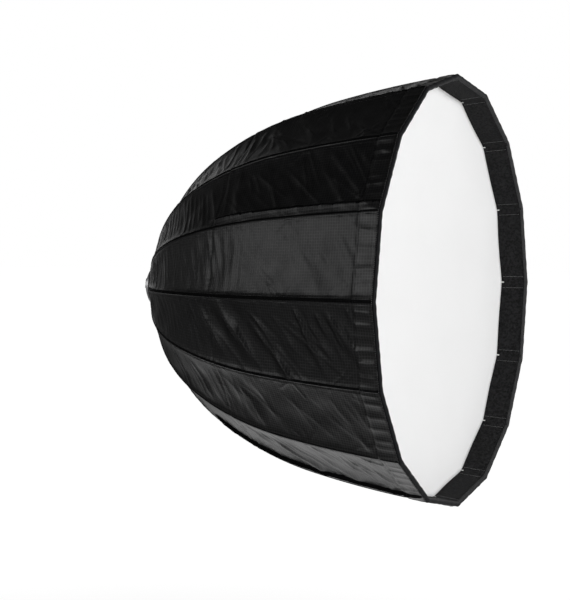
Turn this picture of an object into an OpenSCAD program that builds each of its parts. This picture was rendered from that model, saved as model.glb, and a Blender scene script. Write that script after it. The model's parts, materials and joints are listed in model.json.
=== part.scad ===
// Deep softbox with sixteen sprung rods on a bayonet speed ring, open and ready for use.
// X is the optical axis, from the lamp seat to the open front. Z is up.
// The origin is the centre of the seat that meets the lamp head. Sizes are in millimetres.

/* [Canopy] */
// Width of the open front across opposite corners
front_w = 1200; // [1000:10:1400]
// Angle between a rod and the optical axis at its socket
root_angle = 67.5; // [60:0.5:72]
// Angle between a rod and the optical axis at the front edge
tip_angle = 6.5; // [4:0.5:12]
// Thickness of the canopy cloth
cloth_t = 1; // [0.8:0.1:2]
// Width of the lip that stands in front of the diffuser
lip_w = 79; // [50:1:100]
// Thickness of the loop band inside the lip
band_t = 1.6; // [1:0.1:3]
// Distance from a rod's hinge to the rear edge of the panels
panel_root = 24; // [20:1:34]
// Width of the collar's cuff on the speed ring
cuff_w = 5; // [3:0.5:7]

/* [Diffusers] */
// Thickness of the diffuser cloths
diffuser_t = 1.2; // [0.8:0.1:3]
// Width of the hook tape round the front diffuser
tape_w = 22; // [15:1:30]
// Thickness of the hook tape
tape_t = 1.4; // [1:0.1:3]
// Distance of the inner baffle behind the front edge
baffle_back = 295; // [220:5:380]
// Width of the gap between the baffle's cloth and the rods
baffle_margin = 70; // [40:5:120]
// Width of a baffle strap
strap_w = 14; // [8:1:24]

/* [Rods] */
// Diameter of a rod
rod_d = 5; // [4:0.5:7]
// Depth of a rod in its socket
rod_seat = 30; // [20:1:34]
// Length of a socket from its hinge to its mouth
socket_l = 45; // [42:1:60]
// Wall of a socket's tube
socket_wall = 1.3; // [1:0.1:2]
// Width of a socket's hinge barrel
socket_w = 10; // [8:0.5:11]
// Outer diameter of a socket's hinge barrel
socket_barrel_d = 12; // [10:0.5:14]
// Diameter of a rod's end cap
cap_d = 8; // [7.5:0.5:11]
// Length of an end cap on the rod
cap_l = 14; // [8:1:25]

/* [Speed ring] */
// Distance of the rod hinges in front of the lamp seat
hinge_x = 35; // [34:1:44]
// Height of the rod hinges over the ring's rim
hinge_lift = 8; // [7:0.5:14]
// Wall of the speed ring round the barrel
ring_wall = 10; // [7:0.5:14]
// Distance of the ring's front face in front of the hinges
ring_lead = 7; // [5:0.5:12]
// Thickness of a hinge ear
ear_t = 4.5; // [3:0.5:5]
// Outer diameter of a hinge ear
ear_d = 13; // [11:0.5:14]
// Depth of an ear's foot in the ring
ear_foot = 2; // [1:0.5:4]
// Diameter of a hinge pin
pin_d = 4; // [3:0.5:5]
// Diameter of a hinge pin's head
pin_head_d = 6.5; // [6:0.5:8]
// Thickness of a hinge pin's head
pin_head_t = 1.2; // [0.8:0.1:1.5]

/* [Lamp mount] */
// Diameter of the clear bore for the lamp
bore_d = 82; // [70:1:84]
// Wall of the bayonet spigot round the bore
spigot_wall = 4.5; // [3:0.25:6]
// Length of the spigot behind the seat
spigot_l = 9; // [7:0.5:12]
// Height of a bayonet lug over the spigot
lug_h = 3.5; // [2:0.25:5]
// Thickness of a bayonet lug
lug_t = 3; // [2:0.5:4]
// Angle that a bayonet lug covers
lug_angle = 34; // [20:1:50]
// Width of the seat flange round the barrel
flange_w = 6.5; // [5:0.5:9]
// Thickness of the seat flange
flange_t = 6; // [4:0.5:7]
// Depth of the relief between the spigot and the seat
relief_depth = 1; // [0.5:0.5:2]
// Diameter of the barrel that turns in the speed ring
barrel_d = 104; // [102:0.5:107]
// Thickness of the friction washer
washer_t = 1.5; // [1:0.5:2]
// Width of the retaining ring round the barrel
retainer_lap = 6; // [4:0.5:9]
// Thickness of the retaining ring
retainer_t = 3; // [2:0.5:5]
// Diameter of a retaining screw
screw_d = 4; // [3:0.5:5]
// Length of a retaining screw in the barrel
screw_l = 10; // [6:1:16]
// Diameter of a retaining screw's head
screw_head_d = 7; // [6:0.5:8]
// Height of a retaining screw's head
screw_head_h = 2.4; // [1.5:0.1:3]

/* [Lock] */
// Distance of the lock screw in front of the lamp seat
lock_x = 13.5; // [12.5:0.5:15]
// Diameter of the lock screw
stud_d = 6; // [5:0.5:8]
// Diameter of the lock knob
knob_d = 16; // [14:0.5:18]
// Height of the lock knob
knob_h = 14; // [10:1:18]
// Space between the speed ring and the lock knob
knob_lift = 5; // [3:0.5:8]
// Space between the loose lock screw and the barrel
stud_clear = 0.8; // [0.5:0.1:1.5]
// Depth of the stud in the knob
stud_seat = 9; // [5:1:9]

/* [Clearances] */
// Gap between pieces that only lie against each other
gap = 0.3; // [0.2:0.05:0.5]
// Radial clearance of a hinge pin
pin_fit = 0.04; // [0.02:0.01:0.1]
// Radial clearance of the barrel in the speed ring
turn_fit = 0.08; // [0.02:0.01:0.1]
// Radial clearance of a rod, a screw or a stud in its hole
shank_fit = 0.05; // [0.02:0.01:0.1]
// End play of the barrel in the speed ring
end_play = 0.2; // [0.1:0.05:0.5]
// Clearance on each side of a socket between its ears
side_play = 0.25; // [0.2:0.05:0.5]
// Space between the collar and the hinge ears, and round the lugs in the seat's relief
cloth_clear = 2; // [1:0.5:4]

/* [Hidden] */
$fn = 48;
sides = 16;
step = 360 / sides;
half = step / 2;
screws = 6;
lugs = 3;
knob_flutes = 10;
flute_d = 2.4;
// Overshoot of a cut past the face that it leaves through, and depth of a lug in the spigot
over = 1;
// Half the space between two stretches of a rod, and the rise of the bead that closes it
bead_gap = 0.3;
bead_rise = 0.1;
// The lock screw sits between the fifth and the sixth rod, out of the way of the carrying hand
lock_side = 4;
// Straight facets in each of a panel's arcs
facets = 8;
// Share of a rod's whole bend at the ends of its three equal arcs: a sprung rod bends most at its root
bend_share = [0, 5 / 9, 8 / 9, 1];
arcs = len(bend_share) - 1;

// Unit vectors along a rod that lies at angle a to the axis, and across it to the outside
function along(a) = [cos(a), sin(a)];
function across(a) = [-sin(a), cos(a)];

function bend_angle(j) = root_angle - (root_angle - tip_angle) * bend_share[j];
function turn(j) = bend_angle(j) - bend_angle(j + 1);
function total(list, i = 0) = i < len(list) ? list[i] + total(list, i + 1) : 0;

// Distance of the canopy's two faces from the centre line of a rod, outside its socket and its cap
skin_in = max(rod_d / 2 + socket_wall, cap_d / 2) + gap;
skin_out = skin_in + cloth_t;
// Distance of the loop band's two faces on the other side of the rods
band_out = cap_d / 2 + gap;
band_in = band_out + band_t;

// The mount grows outward from the bore, and the speed ring and its hinges from the barrel
spigot_d = bore_d + 2 * spigot_wall;
lug_d = spigot_d + 2 * lug_h;
flange_d = barrel_d + 2 * flange_w;
retainer_d = barrel_d + 2 * retainer_lap;
ring_d = barrel_d + 2 * ring_wall;
ring_r = ring_d / 2;
hinge_r = ring_r + hinge_lift;
hinge = [hinge_x, hinge_r];
// A rod runs straight for a little way in front of its socket
root_lead = 3;
arc_start = hinge + (socket_l + root_lead) * along(root_angle);
rod_rim_r = front_w / 2 - skin_out * cos(tip_angle);
// Rise of the rod per millimetre of one arc's length, over the three arcs
arc_rise = total([for (j = [0 : arcs - 1])
    (cos(bend_angle(j + 1)) - cos(bend_angle(j))) / (turn(j) * PI / 180)]);
arc_l = (rod_rim_r - arc_start.y) / arc_rise;
function arc_r(j) = arc_l / (turn(j) * PI / 180);
function arc_centre(j) = j == 0
    ? arc_start - arc_r(0) * across(bend_angle(0))
    : arc_centre(j - 1) + (arc_r(j - 1) - arc_r(j)) * across(bend_angle(j));

// Point [x, radius] at share f of arc j, off outside the rod's centre line
function path(j, f, off) = arc_centre(j) + (arc_r(j) + off) * across(bend_angle(j) - f * turn(j));
// Point off outside the straight root, d from the hinge
function root_point(d, off) = hinge + d * along(root_angle) + off * across(root_angle);
function arc_at(x, off) = x < path(0, 1, off).x ? 0 : x < path(1, 1, off).x ? 1 : 2;
function slope_at(x, off, j) = asin((arc_centre(j).x - x) / (arc_r(j) + off));
function radius_on(x, off, j) = arc_centre(j).y + (arc_r(j) + off) * cos(slope_at(x, off, j));
// Point at the given x, off outside the rod's centre line
function point_at(x, off) = [x, radius_on(x, off, arc_at(x, off))];

last = arcs - 1;
front_x = path(last, 1, skin_out).x;
diffuser_x = front_x - lip_w;
baffle_x = front_x - baffle_back;
band_rear = diffuser_x - tape_w;
// The end cap stops just inside the folded front edge
rod_end_x = front_x - cloth_t - gap - cap_d / 2;
rod_end_angle = slope_at(rod_end_x, 0, last);
rod_end = point_at(rod_end_x, 0);

ring_rear = flange_t + washer_t + end_play;
ring_front = hinge_x + ring_lead;
ear_gap = socket_w + 2 * side_play;
retainer_x = ring_front + end_play;
screw_pcd = (bore_d + barrel_d) / 2;
cuff_front = hinge_x - ear_d / 2 - cloth_clear;
cuff_r = ring_r + gap;
// Radius at which the collar turns forward, clear of the ears
collar_bend_r = hinge_r + ear_d / 2 + cloth_clear;

function number(k) = str(k < 9 ? "0" : "", k + 1);
function names(stem) = [for (k = [0 : sides - 1]) str(stem, number(k))];
rod_names = names("rod_");
socket_names = names("rod_socket_");
panel_names = names("gore_panel_");

// Puts a shape that stands on Z along the optical axis, starting at x
module axial(x) {
    translate([x, 0, 0]) rotate([0, 90, 0]) children();
}

// Turns a shape made in the XZ plane to the plane of rod k, or to the middle of the side after it
module at_rod(k) {
    rotate([-k * step, 0, 0]) children();
}

module at_side(k) {
    rotate([-(k + 0.5) * step, 0, 0]) children();
}

// Stands a Z shape on a hinge, leaning along the rod's root
module at_root() {
    translate([hinge.x, 0, hinge.y]) rotate([0, 90 - root_angle, 0]) children();
}

module across_hinge() {
    translate([hinge.x, 0, hinge.y]) rotate([90, 0, 0]) children();
}

// One flat side of the canopy: an outline of [x, radius at the rods] drawn out from rod to rod
module side_strip(outline, clear) {
    reach = front_w;
    wide = reach * tan(half);
    apex = clear / sin(half);
    intersection() {
        rotate([90, 0, 0])
            linear_extrude(reach, center = true)
                polygon([for (p = outline) [p.x, p.y * cos(half)]]);
        translate([-reach, 0, 0])
            rotate([90, 0, 90])
                linear_extrude(3 * reach)
                    polygon([[0, apex], [wide, apex + reach], [-wide, apex + reach]]);
    }
}

module bayonet_adapter() color("silver") {
    difference() {
        union() {
            axial(-spigot_l) cylinder(h = spigot_l + relief_depth, d = spigot_d);
            for (i = [0 : lugs - 1])
                rotate([i * 360 / lugs, 0, 0])
                    axial(-spigot_l)
                        rotate_extrude(angle = lug_angle)
                            translate([spigot_d / 2 - over, 0]) square([lug_h + over, lug_t]);
            difference() {
                axial(0) cylinder(h = flange_t, d = flange_d);
                axial(-over) cylinder(h = relief_depth + over, d = lug_d + cloth_clear);
            }
            axial(flange_t) cylinder(h = retainer_x - flange_t, d = barrel_d);
        }
        axial(-spigot_l - over) cylinder(h = retainer_x + spigot_l + 2 * over, d = bore_d);
        screw_holes(retainer_x - screw_l - over, screw_l + 2 * over, screw_d + 2 * shank_fit);
    }
}

// Six holes or shanks on the retaining ring's circle
module screw_holes(x, l, d) {
    for (i = [0 : screws - 1])
        rotate([i * 360 / screws, 0, 0])
            translate([x, 0, screw_pcd / 2]) rotate([0, 90, 0]) cylinder(h = l, d = d);
}

module friction_washer() color("whitesmoke") {
    difference() {
        axial(flange_t) cylinder(h = washer_t, d = flange_d);
        axial(flange_t - over) cylinder(h = washer_t + 2 * over, d = barrel_d + 2 * gap);
    }
}

module retaining_ring() color("silver") {
    difference() {
        axial(retainer_x) cylinder(h = retainer_t, d = retainer_d);
        axial(retainer_x - over) cylinder(h = retainer_t + 2 * over, d = bore_d);
        screw_holes(retainer_x - over, retainer_t + 2 * over, screw_d + 2 * shank_fit);
    }
}

module retaining_screws() color("dimgray") {
    screw_holes(retainer_x - screw_l, screw_l + retainer_t, screw_d);
    screw_holes(retainer_x + retainer_t, screw_head_h, screw_head_d);
}

// The two ears that carry one rod's hinge pin
module ears() {
    foot = ring_r - ear_foot;
    for (s = [-1, 1])
        translate([0, s * (ear_gap + ear_t) / 2, 0])
            rotate([90, 0, 0])
                linear_extrude(ear_t, center = true) {
                    translate(hinge) circle(d = ear_d);
                    translate([hinge_x - ear_d / 2, foot]) square([ear_d, hinge_r - foot]);
                }
}

module speed_ring() color("dimgray") {
    difference() {
        union() {
            axial(ring_rear) cylinder(h = ring_front - ring_rear, d = ring_d);
            for (k = [0 : sides - 1]) at_rod(k) ears();
        }
        axial(ring_rear - over)
            cylinder(h = ring_front - ring_rear + 2 * over, d = barrel_d + 2 * turn_fit);
        for (k = [0 : sides - 1])
            at_rod(k) across_hinge()
                cylinder(h = ear_gap + 2 * (ear_t + over), d = pin_d + 2 * pin_fit, center = true);
        at_side(lock_side)
            translate([lock_x, 0, bore_d / 2]) cylinder(h = ring_r, d = stud_d + 2 * shank_fit);
    }
}

module hinge_pins() color("silver") {
    for (k = [0 : sides - 1])
        at_rod(k) across_hinge() {
            cylinder(h = ear_gap + 2 * ear_t, d = pin_d, center = true);
            for (s = [-1, 1])
                translate([0, 0, s * (ear_gap + 2 * ear_t + pin_head_t) / 2])
                    cylinder(h = pin_head_t, d = pin_head_d, center = true);
        }
}

module rear_collar() color([0.1, 0.1, 0.11]) {
    // Between the rods the flat panels reach further back than at the rods
    dip = root_point(panel_root, skin_out).y * (1 - cos(half)) * sin(root_angle);
    edge_in = root_point(panel_root - dip - gap, skin_in);
    edge_out = root_point(panel_root - dip - gap, skin_out);
    rotate([0, 90, 0])
        rotate_extrude($fn = 96)
            polygon([
                [cuff_r, cuff_front - cuff_w],
                [cuff_r, cuff_front],
                [collar_bend_r, cuff_front],
                [edge_in.y, edge_in.x],
                [edge_out.y, edge_out.x],
                [collar_bend_r + cloth_t / 2, cuff_front - cloth_t],
                [cuff_r + cloth_t, cuff_front - cloth_t],
                [cuff_r + cloth_t, cuff_front - cuff_w]
            ]);
}

module lock_stud() color("silver") {
    foot = barrel_d / 2 + stud_clear;
    at_side(lock_side)
        translate([lock_x, 0, foot])
            cylinder(h = ring_r + knob_lift + stud_seat - foot, d = stud_d);
}

module lock_knob() color([0.12, 0.12, 0.13]) {
    at_side(lock_side)
        translate([lock_x, 0, ring_r + knob_lift])
            difference() {
                cylinder(h = knob_h, d = knob_d);
                translate([0, 0, -over]) cylinder(h = stud_seat + over, d = stud_d + 2 * shank_fit);
                for (i = [0 : knob_flutes - 1])
                    rotate([0, 0, i * 360 / knob_flutes])
                        translate([knob_d / 2, 0, -over]) cylinder(h = knob_h + 2 * over, d = flute_d);
            }
}

module rod_socket(k) color("dimgray") {
    at_rod(k) difference() {
        union() {
            across_hinge() cylinder(h = socket_w, d = socket_barrel_d, center = true);
            at_root() cylinder(h = socket_l, d = rod_d + 2 * socket_wall);
        }
        across_hinge() cylinder(h = socket_w + 2 * over, d = pin_d + 2 * pin_fit, center = true);
        at_root()
            translate([0, 0, socket_l - rod_seat])
                cylinder(h = rod_seat + over, d = rod_d + 2 * shank_fit);
    }
}

// One arc of a rod, from the angle at its root side to the angle at its front side
module rod_arc(j, from, to) {
    centre = arc_centre(j);
    translate([centre.x, 0, centre.y])
        rotate([90, 0, 0])
            rotate([0, 0, 90 + to])
                rotate_extrude(angle = from - to, $fn = 360)
                    translate([arc_r(j), 0]) circle(d = rod_d, $fn = 24);
}

// The shaft's stretches stop just short of each other, and a bead joins each two of them
module rod_shaft() {
    at_root()
        translate([0, 0, socket_l - rod_seat]) cylinder(h = rod_seat + root_lead - bead_gap, d = rod_d);
    for (j = [0 : last]) {
        trim = bead_gap / arc_r(j) * 180 / PI;
        joint = path(j, 0, 0);
        rod_arc(j, bend_angle(j) - trim, j == last ? rod_end_angle : bend_angle(j + 1) + trim);
        translate([joint.x, 0, joint.y]) sphere(d = rod_d + 2 * bead_rise);
    }
}

module rod_cap() {
    translate([rod_end.x, 0, rod_end.y])
        rotate([0, 90 - rod_end_angle, 0])
            difference() {
                union() {
                    translate([0, 0, -cap_l]) cylinder(h = cap_l, d = cap_d);
                    sphere(d = cap_d);
                }
                translate([0, 0, -cap_l - over]) cylinder(h = cap_l + over + gap, d = rod_d + 2 * shank_fit);
            }
}

module rod(k) color([0.2, 0.2, 0.21]) {
    at_rod(k) {
        rod_shaft();
        rod_cap();
    }
}

// Points along one face of the canopy, from the straight root over all arcs but the last point
function skin(off) = concat(
    [root_point(panel_root, off)],
    [for (j = [0 : last], i = [0 : facets - 1]) path(j, i / facets, off)]);
function backward(list) = [for (i = [len(list) - 1 : -1 : 0]) list[i]];
band_mid = (front_x + band_rear) / 2;

module gore_panel(k) color([0.1, 0.1, 0.11]) {
    outline = concat(
        skin(skin_out),
        [point_at(front_x, skin_out), point_at(front_x, -band_in)],
        [point_at(band_mid, -band_in), point_at(band_rear, -band_in)],
        [point_at(band_rear, -band_out), point_at(band_mid, -band_out)],
        [point_at(front_x - cloth_t, -band_out), point_at(front_x - cloth_t, skin_in)],
        backward(skin(skin_in)));
    at_side(k) side_strip(outline, gap);
}

// The front cloth, a flat sixteen-sided sheet that ends just inside the loop band
module front_diffuser() color("white") {
    corner = point_at(diffuser_x, -band_in - gap).y;
    axial(diffuser_x) linear_extrude(diffuser_t) ring_polygon(corner);
}

// Polygon with a corner at each rod
module ring_polygon(corner) {
    polygon([for (k = [0 : sides - 1]) corner * along(k * step)]);
}

module diffuser_tape() color("whitesmoke") {
    near = -band_in - gap;
    far = near - tape_t;
    outline = [
        point_at(band_rear, near),
        point_at(diffuser_x, near),
        point_at(diffuser_x, far),
        point_at(band_rear, far)
    ];
    // The sixteen strips lap a little, so that they make one ring
    for (k = [0 : sides - 1]) at_side(k) side_strip(outline, -gap);
}

// A second cloth inside, stretched between the rods by one strap at each
module inner_baffle() color("white") {
    rod_inside = point_at(baffle_x, -rod_d / 2).y - gap;
    axial(baffle_x)
        linear_extrude(diffuser_t) {
            ring_polygon(rod_inside - baffle_margin);
            for (k = [0 : sides - 1])
                rotate([0, 0, k * step])
                    translate([0, -strap_w / 2]) square([rod_inside, strap_w]);
        }
}

bayonet_adapter();
friction_washer();
retaining_ring();
retaining_screws();
speed_ring();
hinge_pins();
rear_collar();
lock_stud();
lock_knob();
front_diffuser();
diffuser_tape();
inner_baffle();
for (k = [0 : sides - 1]) {
    rod_socket(k);
    rod(k);
    gore_panel(k);
}
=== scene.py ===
# Looks of a deep softbox: a sewn black canopy on sixteen sprung rods, its lip, white cloths and speed ring.
# Metres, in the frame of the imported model: X is the optical axis, Z is up. Rods and gores count from 0 at the
# top, s is the distance along a rod from its hinge, and t the distance across from a rod's seam.
import json
import math
from functools import partial

import bmesh
import bpy
import numpy as np
from mathutils import Matrix, Vector


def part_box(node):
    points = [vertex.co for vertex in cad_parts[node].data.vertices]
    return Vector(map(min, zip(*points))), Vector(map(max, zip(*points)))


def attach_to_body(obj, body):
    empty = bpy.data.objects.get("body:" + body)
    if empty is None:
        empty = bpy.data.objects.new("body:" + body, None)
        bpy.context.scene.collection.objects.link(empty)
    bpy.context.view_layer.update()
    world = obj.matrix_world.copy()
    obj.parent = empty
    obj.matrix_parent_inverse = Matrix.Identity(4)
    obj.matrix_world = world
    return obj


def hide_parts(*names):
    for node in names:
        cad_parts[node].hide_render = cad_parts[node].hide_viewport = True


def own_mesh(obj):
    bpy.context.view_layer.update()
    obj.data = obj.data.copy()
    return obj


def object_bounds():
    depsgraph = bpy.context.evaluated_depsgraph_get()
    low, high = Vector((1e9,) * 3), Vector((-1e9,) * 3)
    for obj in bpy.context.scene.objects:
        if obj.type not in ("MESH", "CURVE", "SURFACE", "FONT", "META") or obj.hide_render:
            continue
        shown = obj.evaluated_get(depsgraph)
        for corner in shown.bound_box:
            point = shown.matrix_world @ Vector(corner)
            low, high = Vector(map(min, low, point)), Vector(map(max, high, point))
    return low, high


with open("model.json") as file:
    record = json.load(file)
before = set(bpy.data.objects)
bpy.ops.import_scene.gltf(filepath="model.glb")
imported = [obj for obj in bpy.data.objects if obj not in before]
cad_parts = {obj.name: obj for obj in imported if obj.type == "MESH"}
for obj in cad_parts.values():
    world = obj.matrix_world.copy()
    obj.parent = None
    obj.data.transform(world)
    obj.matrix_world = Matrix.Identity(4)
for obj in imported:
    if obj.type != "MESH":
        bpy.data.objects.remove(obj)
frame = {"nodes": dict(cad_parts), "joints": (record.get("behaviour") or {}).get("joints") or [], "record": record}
cad_low, cad_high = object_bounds()

# Rods, as in the solids
SIDES = 16
STEP = 2 * math.pi / SIDES
HALF = STEP / 2
NUMBERS = [f"{k + 1:02d}" for k in range(SIDES)]
FRONT_R = cad_high.z
FRONT_X = cad_high.x
FOLD_JOINT = next(joint for joint in frame["joints"] if joint["name"] == "rod_01_fold")
HINGE_X, _, HINGE_R = FOLD_JOINT["pos_m"]
FOLD = math.radians(FOLD_JOINT["range_deg"][1])
ROOT_STRAIGHT = 0.048
ROOT_ANGLE = math.radians(67.5)
TIP_ANGLE = math.radians(6.5)
# Share of the bend that is done at the start of each of the three arcs, and at the tip
BEND_SHARE = (0, 5 / 9, 8 / 9, 1)

# Canopy and lip: the cloth's face lies SKIN outside a rod's centre line, and the band's face BAND inside it
SKIN = 0.0053
CLOTH_DEPTH = 0.0026
S_ROOT = 0.024
ROOT_END = 0.3
CROSS_SEAM_X = 0.424
STRAP_X = 0.69
HEM_W = 0.066
LIP_W = 0.079
BAND = 0.0059
BAND_T = 0.0016
TAPE_W = 0.022

# Binding of the front edge: its nose, thickness, two legs, and their gaps to the cloth
NOSE_L = 0.0045
BINDING_T = 0.0008
BINDING_LEG = 0.005
BINDING_IN = 0.004
BINDING_GAP = 0.0009
BINDING_IN_GAP = 0.0004

# Rod pocket on one side of each seam, and the groove on the other: height and width, and place
POCKET = (0.0024, 0.0062)
POCKET_AT = 0.0065
GROOVE = (0.0013, 0.0034)
GROOVE_AT = -0.003

# Loose flap of a wide pocket: where it lifts off and ends, its slope, and its free edge
FLAP_START = 0.005
FLAP_END = 0.029
FLAP_SLOPE = 0.4
FLAP_DROP = 0.005
FLAP_WAVE = 0.0012
FLAP_EDGE_WAVES = (0.015, 0.023, 0.041, 0.077)
# x at which a rod's flap begins, where it has one
FLAP_FROM_X = {1: 0.424, 5: 0.3, 9: 0.3, 13: 0.424}
# Strips before and after a flap's edge that are as dull as the seam's tape
DULL_BEFORE = 0.0045
DULL_AFTER = 0.003

# How strongly the folds of a gore show; 1 where it is not named
PULLS = {9: 1.2, 10: 0.32, 11: 1.7, 12: 0.25}
REAR_PULLS = {13: 1.3, 14: 1.4}
HEM_PULLS = {10: 0.5, 11: 1.9, 12: 0.25, 13: 1.7}

# Threads and stitches
RIPSTOP = 0.0078
THREAD_W = 0.0009
SEAM_TAPE = 0.008
SEAM_STITCH_T = 0.0105
STITCH_PITCH = 0.0048
STITCH_FILL = 0.72
STITCH_W = 0.0011
STITCH_H = 0.0006

# Grid of the cloth; its back has every COARSE-th point only
ROW = 0.0036
HALF_COLUMNS = 30
COLUMN_POWER = 1.3
COARSE = 4

# The camera, as fitted to the photograph
PICTURE = (570, 600)
FOCAL_PX = 1876.6
CAMERA_AZ = math.radians(25.76)
CAMERA_EL = math.radians(3.21)
CAMERA_ROLL = math.radians(-0.3)
CAMERA_D = 5.4376
CAMERA_AIM = Vector((FRONT_X - 0.5363, 0, -0.0338))
SENSOR = 36.0


# Shape of the rods and of the ring of cloth between them

BENDS = [ROOT_ANGLE - (ROOT_ANGLE - TIP_ANGLE) * share for share in BEND_SHARE]
TURNS = [a - b for a, b in zip(BENDS, BENDS[1:])]
ARC_START_R = HINGE_R + ROOT_STRAIGHT * math.sin(ROOT_ANGLE)
ARC_RISE = sum((math.cos(a - t) - math.cos(a)) / t for a, t in zip(BENDS, TURNS))
ARC_L = (FRONT_R - SKIN * math.cos(TIP_ANGLE) - ARC_START_R) / ARC_RISE
ROD_L = ROOT_STRAIGHT + len(TURNS) * ARC_L


def spine(s):
    """x, radius and slope of a rod's centre line"""
    s = np.asarray(s, float)
    straight = np.minimum(s, ROOT_STRAIGHT)
    x = HINGE_X + straight * math.cos(ROOT_ANGLE)
    r = HINGE_R + straight * math.sin(ROOT_ANGLE)
    slope = np.full_like(s, ROOT_ANGLE)
    for j, (angle, turn) in enumerate(zip(BENDS, TURNS)):
        share = np.clip((s - ROOT_STRAIGHT) / ARC_L - j, 0, 1)
        radius = ARC_L / turn
        x = x + radius * (math.sin(angle) - np.sin(angle - share * turn))
        r = r + radius * (np.cos(angle - share * turn) - math.cos(angle))
        slope = slope - share * turn
    return x, r, slope


def offset_line(s, off):
    """x and radius of the line off outside a rod's centre line"""
    x, r, slope = spine(s)
    return x - off * np.sin(slope), r + off * np.cos(slope)


def station(x, off):
    """The s at which the line off outside the rod reaches x"""
    s = np.linspace(0, ROD_L, 4001)
    return float(np.interp(x, offset_line(s, off)[0], s))


def chord(turns):
    """Y and Z on a sixteen-cornered ring of corner radius 1; turns counts its sides from the top"""
    k = np.floor(turns)
    u = turns - k
    y = (1 - u) * np.sin(k * STEP) + u * np.sin((k + 1) * STEP)
    z = (1 - u) * np.cos(k * STEP) + u * np.cos((k + 1) * STEP)
    return np.stack([y, z], -1)


def ring_grid(x, r, turns):
    """Points of a ring whose rows have the given x and corner radius"""
    yz = chord(turns) * r[:, None, None]
    xs = np.broadcast_to(x[:, None, None], yz.shape[:2] + (1,))
    return np.concatenate([xs, yz], -1)


def turned(x, r, angle):
    """Points at x and radius r, an angle round from the top"""
    return np.stack(np.broadcast_arrays(x, r * np.sin(angle), r * np.cos(angle)), -1)


def side_length(r):
    """Length of one side of a ring of corner radius r"""
    return 2 * r * math.sin(HALF)


def side_width(s):
    """Width of a gore between its two rods"""
    return side_length(offset_line(s, SKIN)[1])


def unit(v):
    return v / np.maximum(np.linalg.norm(v, axis=-1, keepdims=True), 1e-12)


def smooth(lo, hi, v):
    """Rises from 0 at lo to 1 at hi, without corners"""
    t = np.clip((v - lo) / (hi - lo), 0, 1)
    return t * t * (3 - 2 * t)


def path_length(line):
    """Distance along a line of points, at each point"""
    return np.concatenate([[0], np.cumsum(np.linalg.norm(np.diff(line, axis=0), axis=1))])


def values_at(where, steps, values):
    """Rows of values between those that are known at the steps"""
    return np.stack([np.interp(where, steps, column) for column in values.T], -1)


S_CROSS = station(CROSS_SEAM_X, SKIN)
S_STRAP = station(STRAP_X, SKIN)
S_HEM = station(FRONT_X - HEM_W, SKIN)
S_FRONT = station(FRONT_X - NOSE_L, SKIN)
ZONES = {
    "root": (S_ROOT, ROOT_END),
    "rear": (ROOT_END, S_CROSS),
    "middle": (S_CROSS, S_STRAP),
    "front": (S_STRAP, S_HEM),
    "hem": (S_HEM, S_FRONT),
}
HALF_U = 0.5 * (np.arange(HALF_COLUMNS + 1) / HALF_COLUMNS) ** COLUMN_POWER
GORE_U = np.concatenate([HALF_U, 1 - HALF_U[-2::-1]])
COLUMNS = len(GORE_U) - 1


def zone_rows(zone):
    lo, hi = ZONES[zone]
    count = COARSE * max(2, round((hi - lo) / ROW / COARSE))
    return np.linspace(lo, hi, count + 1)


ROWS = np.concatenate([zone_rows(z)[:-1] for z in ZONES] + [[S_FRONT]])
RING_TURNS = np.concatenate([k + GORE_U[:-1] for k in range(SIDES)])


# Folds of the cloth: each draws its place, lean, width and share of its full height from a range

# A fold's ridge, the valley beside it, and how far it runs past its ends
SHARP = 2.2
VALLEY = 0.22
VALLEY_AT = 2.3
OVERRUN = 0.03
# Full heights
REAR_FOLD_H = 0.0022
UPRIGHT_FOLD_H = 0.0012
CORNER_FOLD_H = 0.0014
STRAP_FOLD_H = 0.0011
HEM_PUCKER_H = 0.0034
CROSS_PUCKER_H = 0.0006
SEAM_PUCKER_H = 0.001
SWELL_H = 0.0007
SAG = 0.0065
# Slanting pulls: top and drop in gore widths, lean as the way forward for each step down
BROAD_PULL = {"top": (0.1, 0.55), "drop": (0.6, 1.1), "lean": (0.4, 1.0), "width": (0.011, 0.02),
              "share": (0.4, 1.0), "height": 0.0036, "taper": 0.35}
NARROW_PULL = {"top": (0.0, 0.5), "drop": (0.35, 0.9), "lean": (0.35, 1.5), "width": (0.005, 0.009),
               "share": (0.3, 1.0), "height": 0.0021, "taper": 0.3}
FRONT_PULL = {"top": (0.25, 0.48), "drop": (0.3, 0.65), "lean": (0.35, 0.75), "width": (0.0055, 0.009),
              "share": (0.4, 1.0), "height": 0.0024, "taper": 0.3}
# Steps and grooves of the cross seam and of the hem's seam: heights and widths
CROSS_GROOVE = (0.0011, 0.0045)
CROSS_STEP = (0.0007, 0.006)
CROSS_STEP_AT = 0.011
HEM_GROOVE = (0.0022, 0.0036)
HEM_STEP = (0.001, 0.008)


def crease(field, places, start, end, width, height, taper=0.3):
    """Adds a fold along a straight line of the flat gore, from start to end, each (across, along)"""
    across, along = places
    dt, ds = end[0] - start[0], end[1] - start[1]
    length = math.hypot(dt, ds)
    share = ((across - start[0]) * dt + (along - start[1]) * ds) / length ** 2
    off = np.abs((along - start[1]) * dt - (across - start[0]) * ds) / (length * width)
    ends = smooth(-OVERRUN, taper, share) * smooth(1 + OVERRUN, 1 - taper, share)
    shape = (1 + SHARP * off ** 2) ** -1.5 - VALLEY * np.exp(-(off - VALLEY_AT) ** 2)
    field += height * ends * shape


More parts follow.
